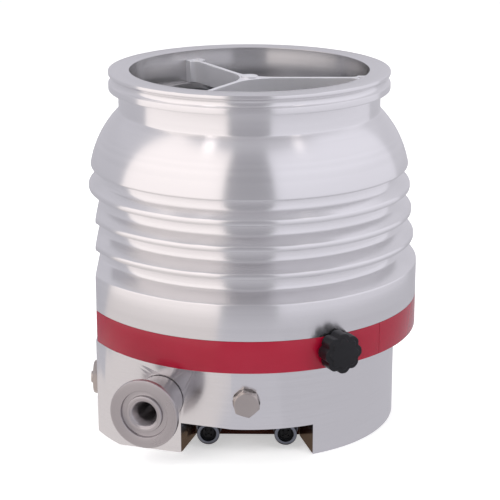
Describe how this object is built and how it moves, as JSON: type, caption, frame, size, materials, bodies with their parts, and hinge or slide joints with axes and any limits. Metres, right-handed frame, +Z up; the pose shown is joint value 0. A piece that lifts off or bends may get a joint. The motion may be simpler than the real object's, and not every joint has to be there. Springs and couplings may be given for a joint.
{
  "type": "turbomolecular pump",
  "caption": "Upright turbomolecular vacuum pump with a finned metal housing, bladed rotor, clamped inlet flange, side exhaust port, red band and vent knob.",
  "frame": {"origin": "centre of the foot thread circle, on the pump axis in the plane of the feet", "axes": "+Z up the pump axis to the inlet, -Y to the front with the exhaust port"},
  "size_m": [0.2157, 0.2256, 0.2285],
  "materials": {
    "housing_metal": "turned, satin",
    "base_metal": "machined, satin",
    "band_red": "satin",
    "star_metal": "machined",
    "rotor_metal": "machined",
    "stator_metal": "stamped",
    "shaft_steel": "ground",
    "screw_steel": "satin",
    "port_steel": "turned",
    "plug_steel": "satin",
    "socket_metal": "satin",
    "magnet": "ground",
    "bearing_steel": "polished",
    "brass_metal": "turned",
    "carbon_sleeve": "smooth",
    "cage_plastic": "smooth",
    "seal_rubber": "smooth",
    "felt": "felted",
    "winding": "lacquered",
    "core_steel": "laminated",
    "knob_plastic": "matte",
    "insert_plastic": "matte",
    "board": "smooth",
    "cap_plastic": "smooth"
  },
  "bodies": {
    "pump": {"base": "base_metal", "bearing_damper_rings": "seal_rubber", "bearing_outer_ring": "bearing_steel", "bearing_seat": "brass_metal", "bottom_cover": "base_metal", "bottom_cover_screws": "screw_steel", "electronics_board": "board", "fore_vacuum_port": "port_steel", "fore_vacuum_port_seal": "seal_rubber", "housing": "housing_metal", "housing_screws": "screw_steel", "housing_seal": "seal_rubber", "hub_cap": "star_metal", "inlet_spacer_ring": "stator_metal", "inlet_star": "star_metal", "inlet_star_screws": "screw_steel", "magnet_bearing_stator": "magnet", "marking_band": "band_red", "motor_stator_core": "core_steel", "motor_windings": "winding", "oil_wick": "felt", "plug_washers": "plug_steel", "reservoir_cap": "cap_plastic", "reservoir_cap_seal": "seal_rubber", "safety_bearing": "bearing_steel", "screw_stage_stator": "stator_metal", "sealing_gas_plug": "plug_steel", "side_plug": "plug_steel", "socket_inserts": "insert_plastic", "socket_shells": "socket_metal", "stator_disc_1": "stator_metal", "stator_disc_2": "stator_metal", "stator_disc_3": "stator_metal", "vent_valve_insert": "brass_metal"},
    "rotor": {"rotor_shaft": "shaft_steel", "rotor_disc_1": "rotor_metal", "rotor_disc_2": "rotor_metal", "rotor_disc_3": "rotor_metal", "rotor_disc_4": "rotor_metal", "screw_stage_hub": "rotor_metal", "screw_stage_sleeve": "carbon_sleeve", "magnet_bearing_rotor": "magnet", "motor_rotor": "magnet", "bearing_inner_ring": "bearing_steel", "bearing_nut": "shaft_steel"},
    "ball_set": {"bearing_balls": "bearing_steel", "bearing_cage": "cage_plastic"},
    "vent_plunger": {"vent_seal_tip": "seal_rubber"},
    "vent_knob": {"vent_screw": "screw_steel", "vent_knob": "knob_plastic"}
  },
  "joints": [
    {"name": "rotor_spin", "type": "hinge", "parent": "pump", "child": "rotor", "pos_m": [0, 0, 0.035], "axis": [0, 0, 1], "continuous": true},
    {"name": "ball_set_spin", "type": "hinge", "parent": "pump", "child": "ball_set", "pos_m": [0, 0, 0.035], "axis": [0, 0, 1], "continuous": true},
    {"name": "vent_travel", "type": "slide", "parent": "pump", "child": "vent_plunger", "axis": [0.4772, -0.8788, 0], "range_m": [0, 0.0021]},
    {"name": "vent_turn", "type": "hinge", "parent": "vent_plunger", "child": "vent_knob", "pos_m": [0.04772, -0.08788, 0.0735], "axis": [0.4772, -0.8788, 0], "range_deg": [0, 720]}
  ],
  "couplings": [
    {"joint": "ball_set_spin", "follows": "rotor_spin", "ratio": 0.41},
    {"joint": "vent_travel", "follows": "vent_turn", "m_per_rad": 0.00015915}
  ]
}
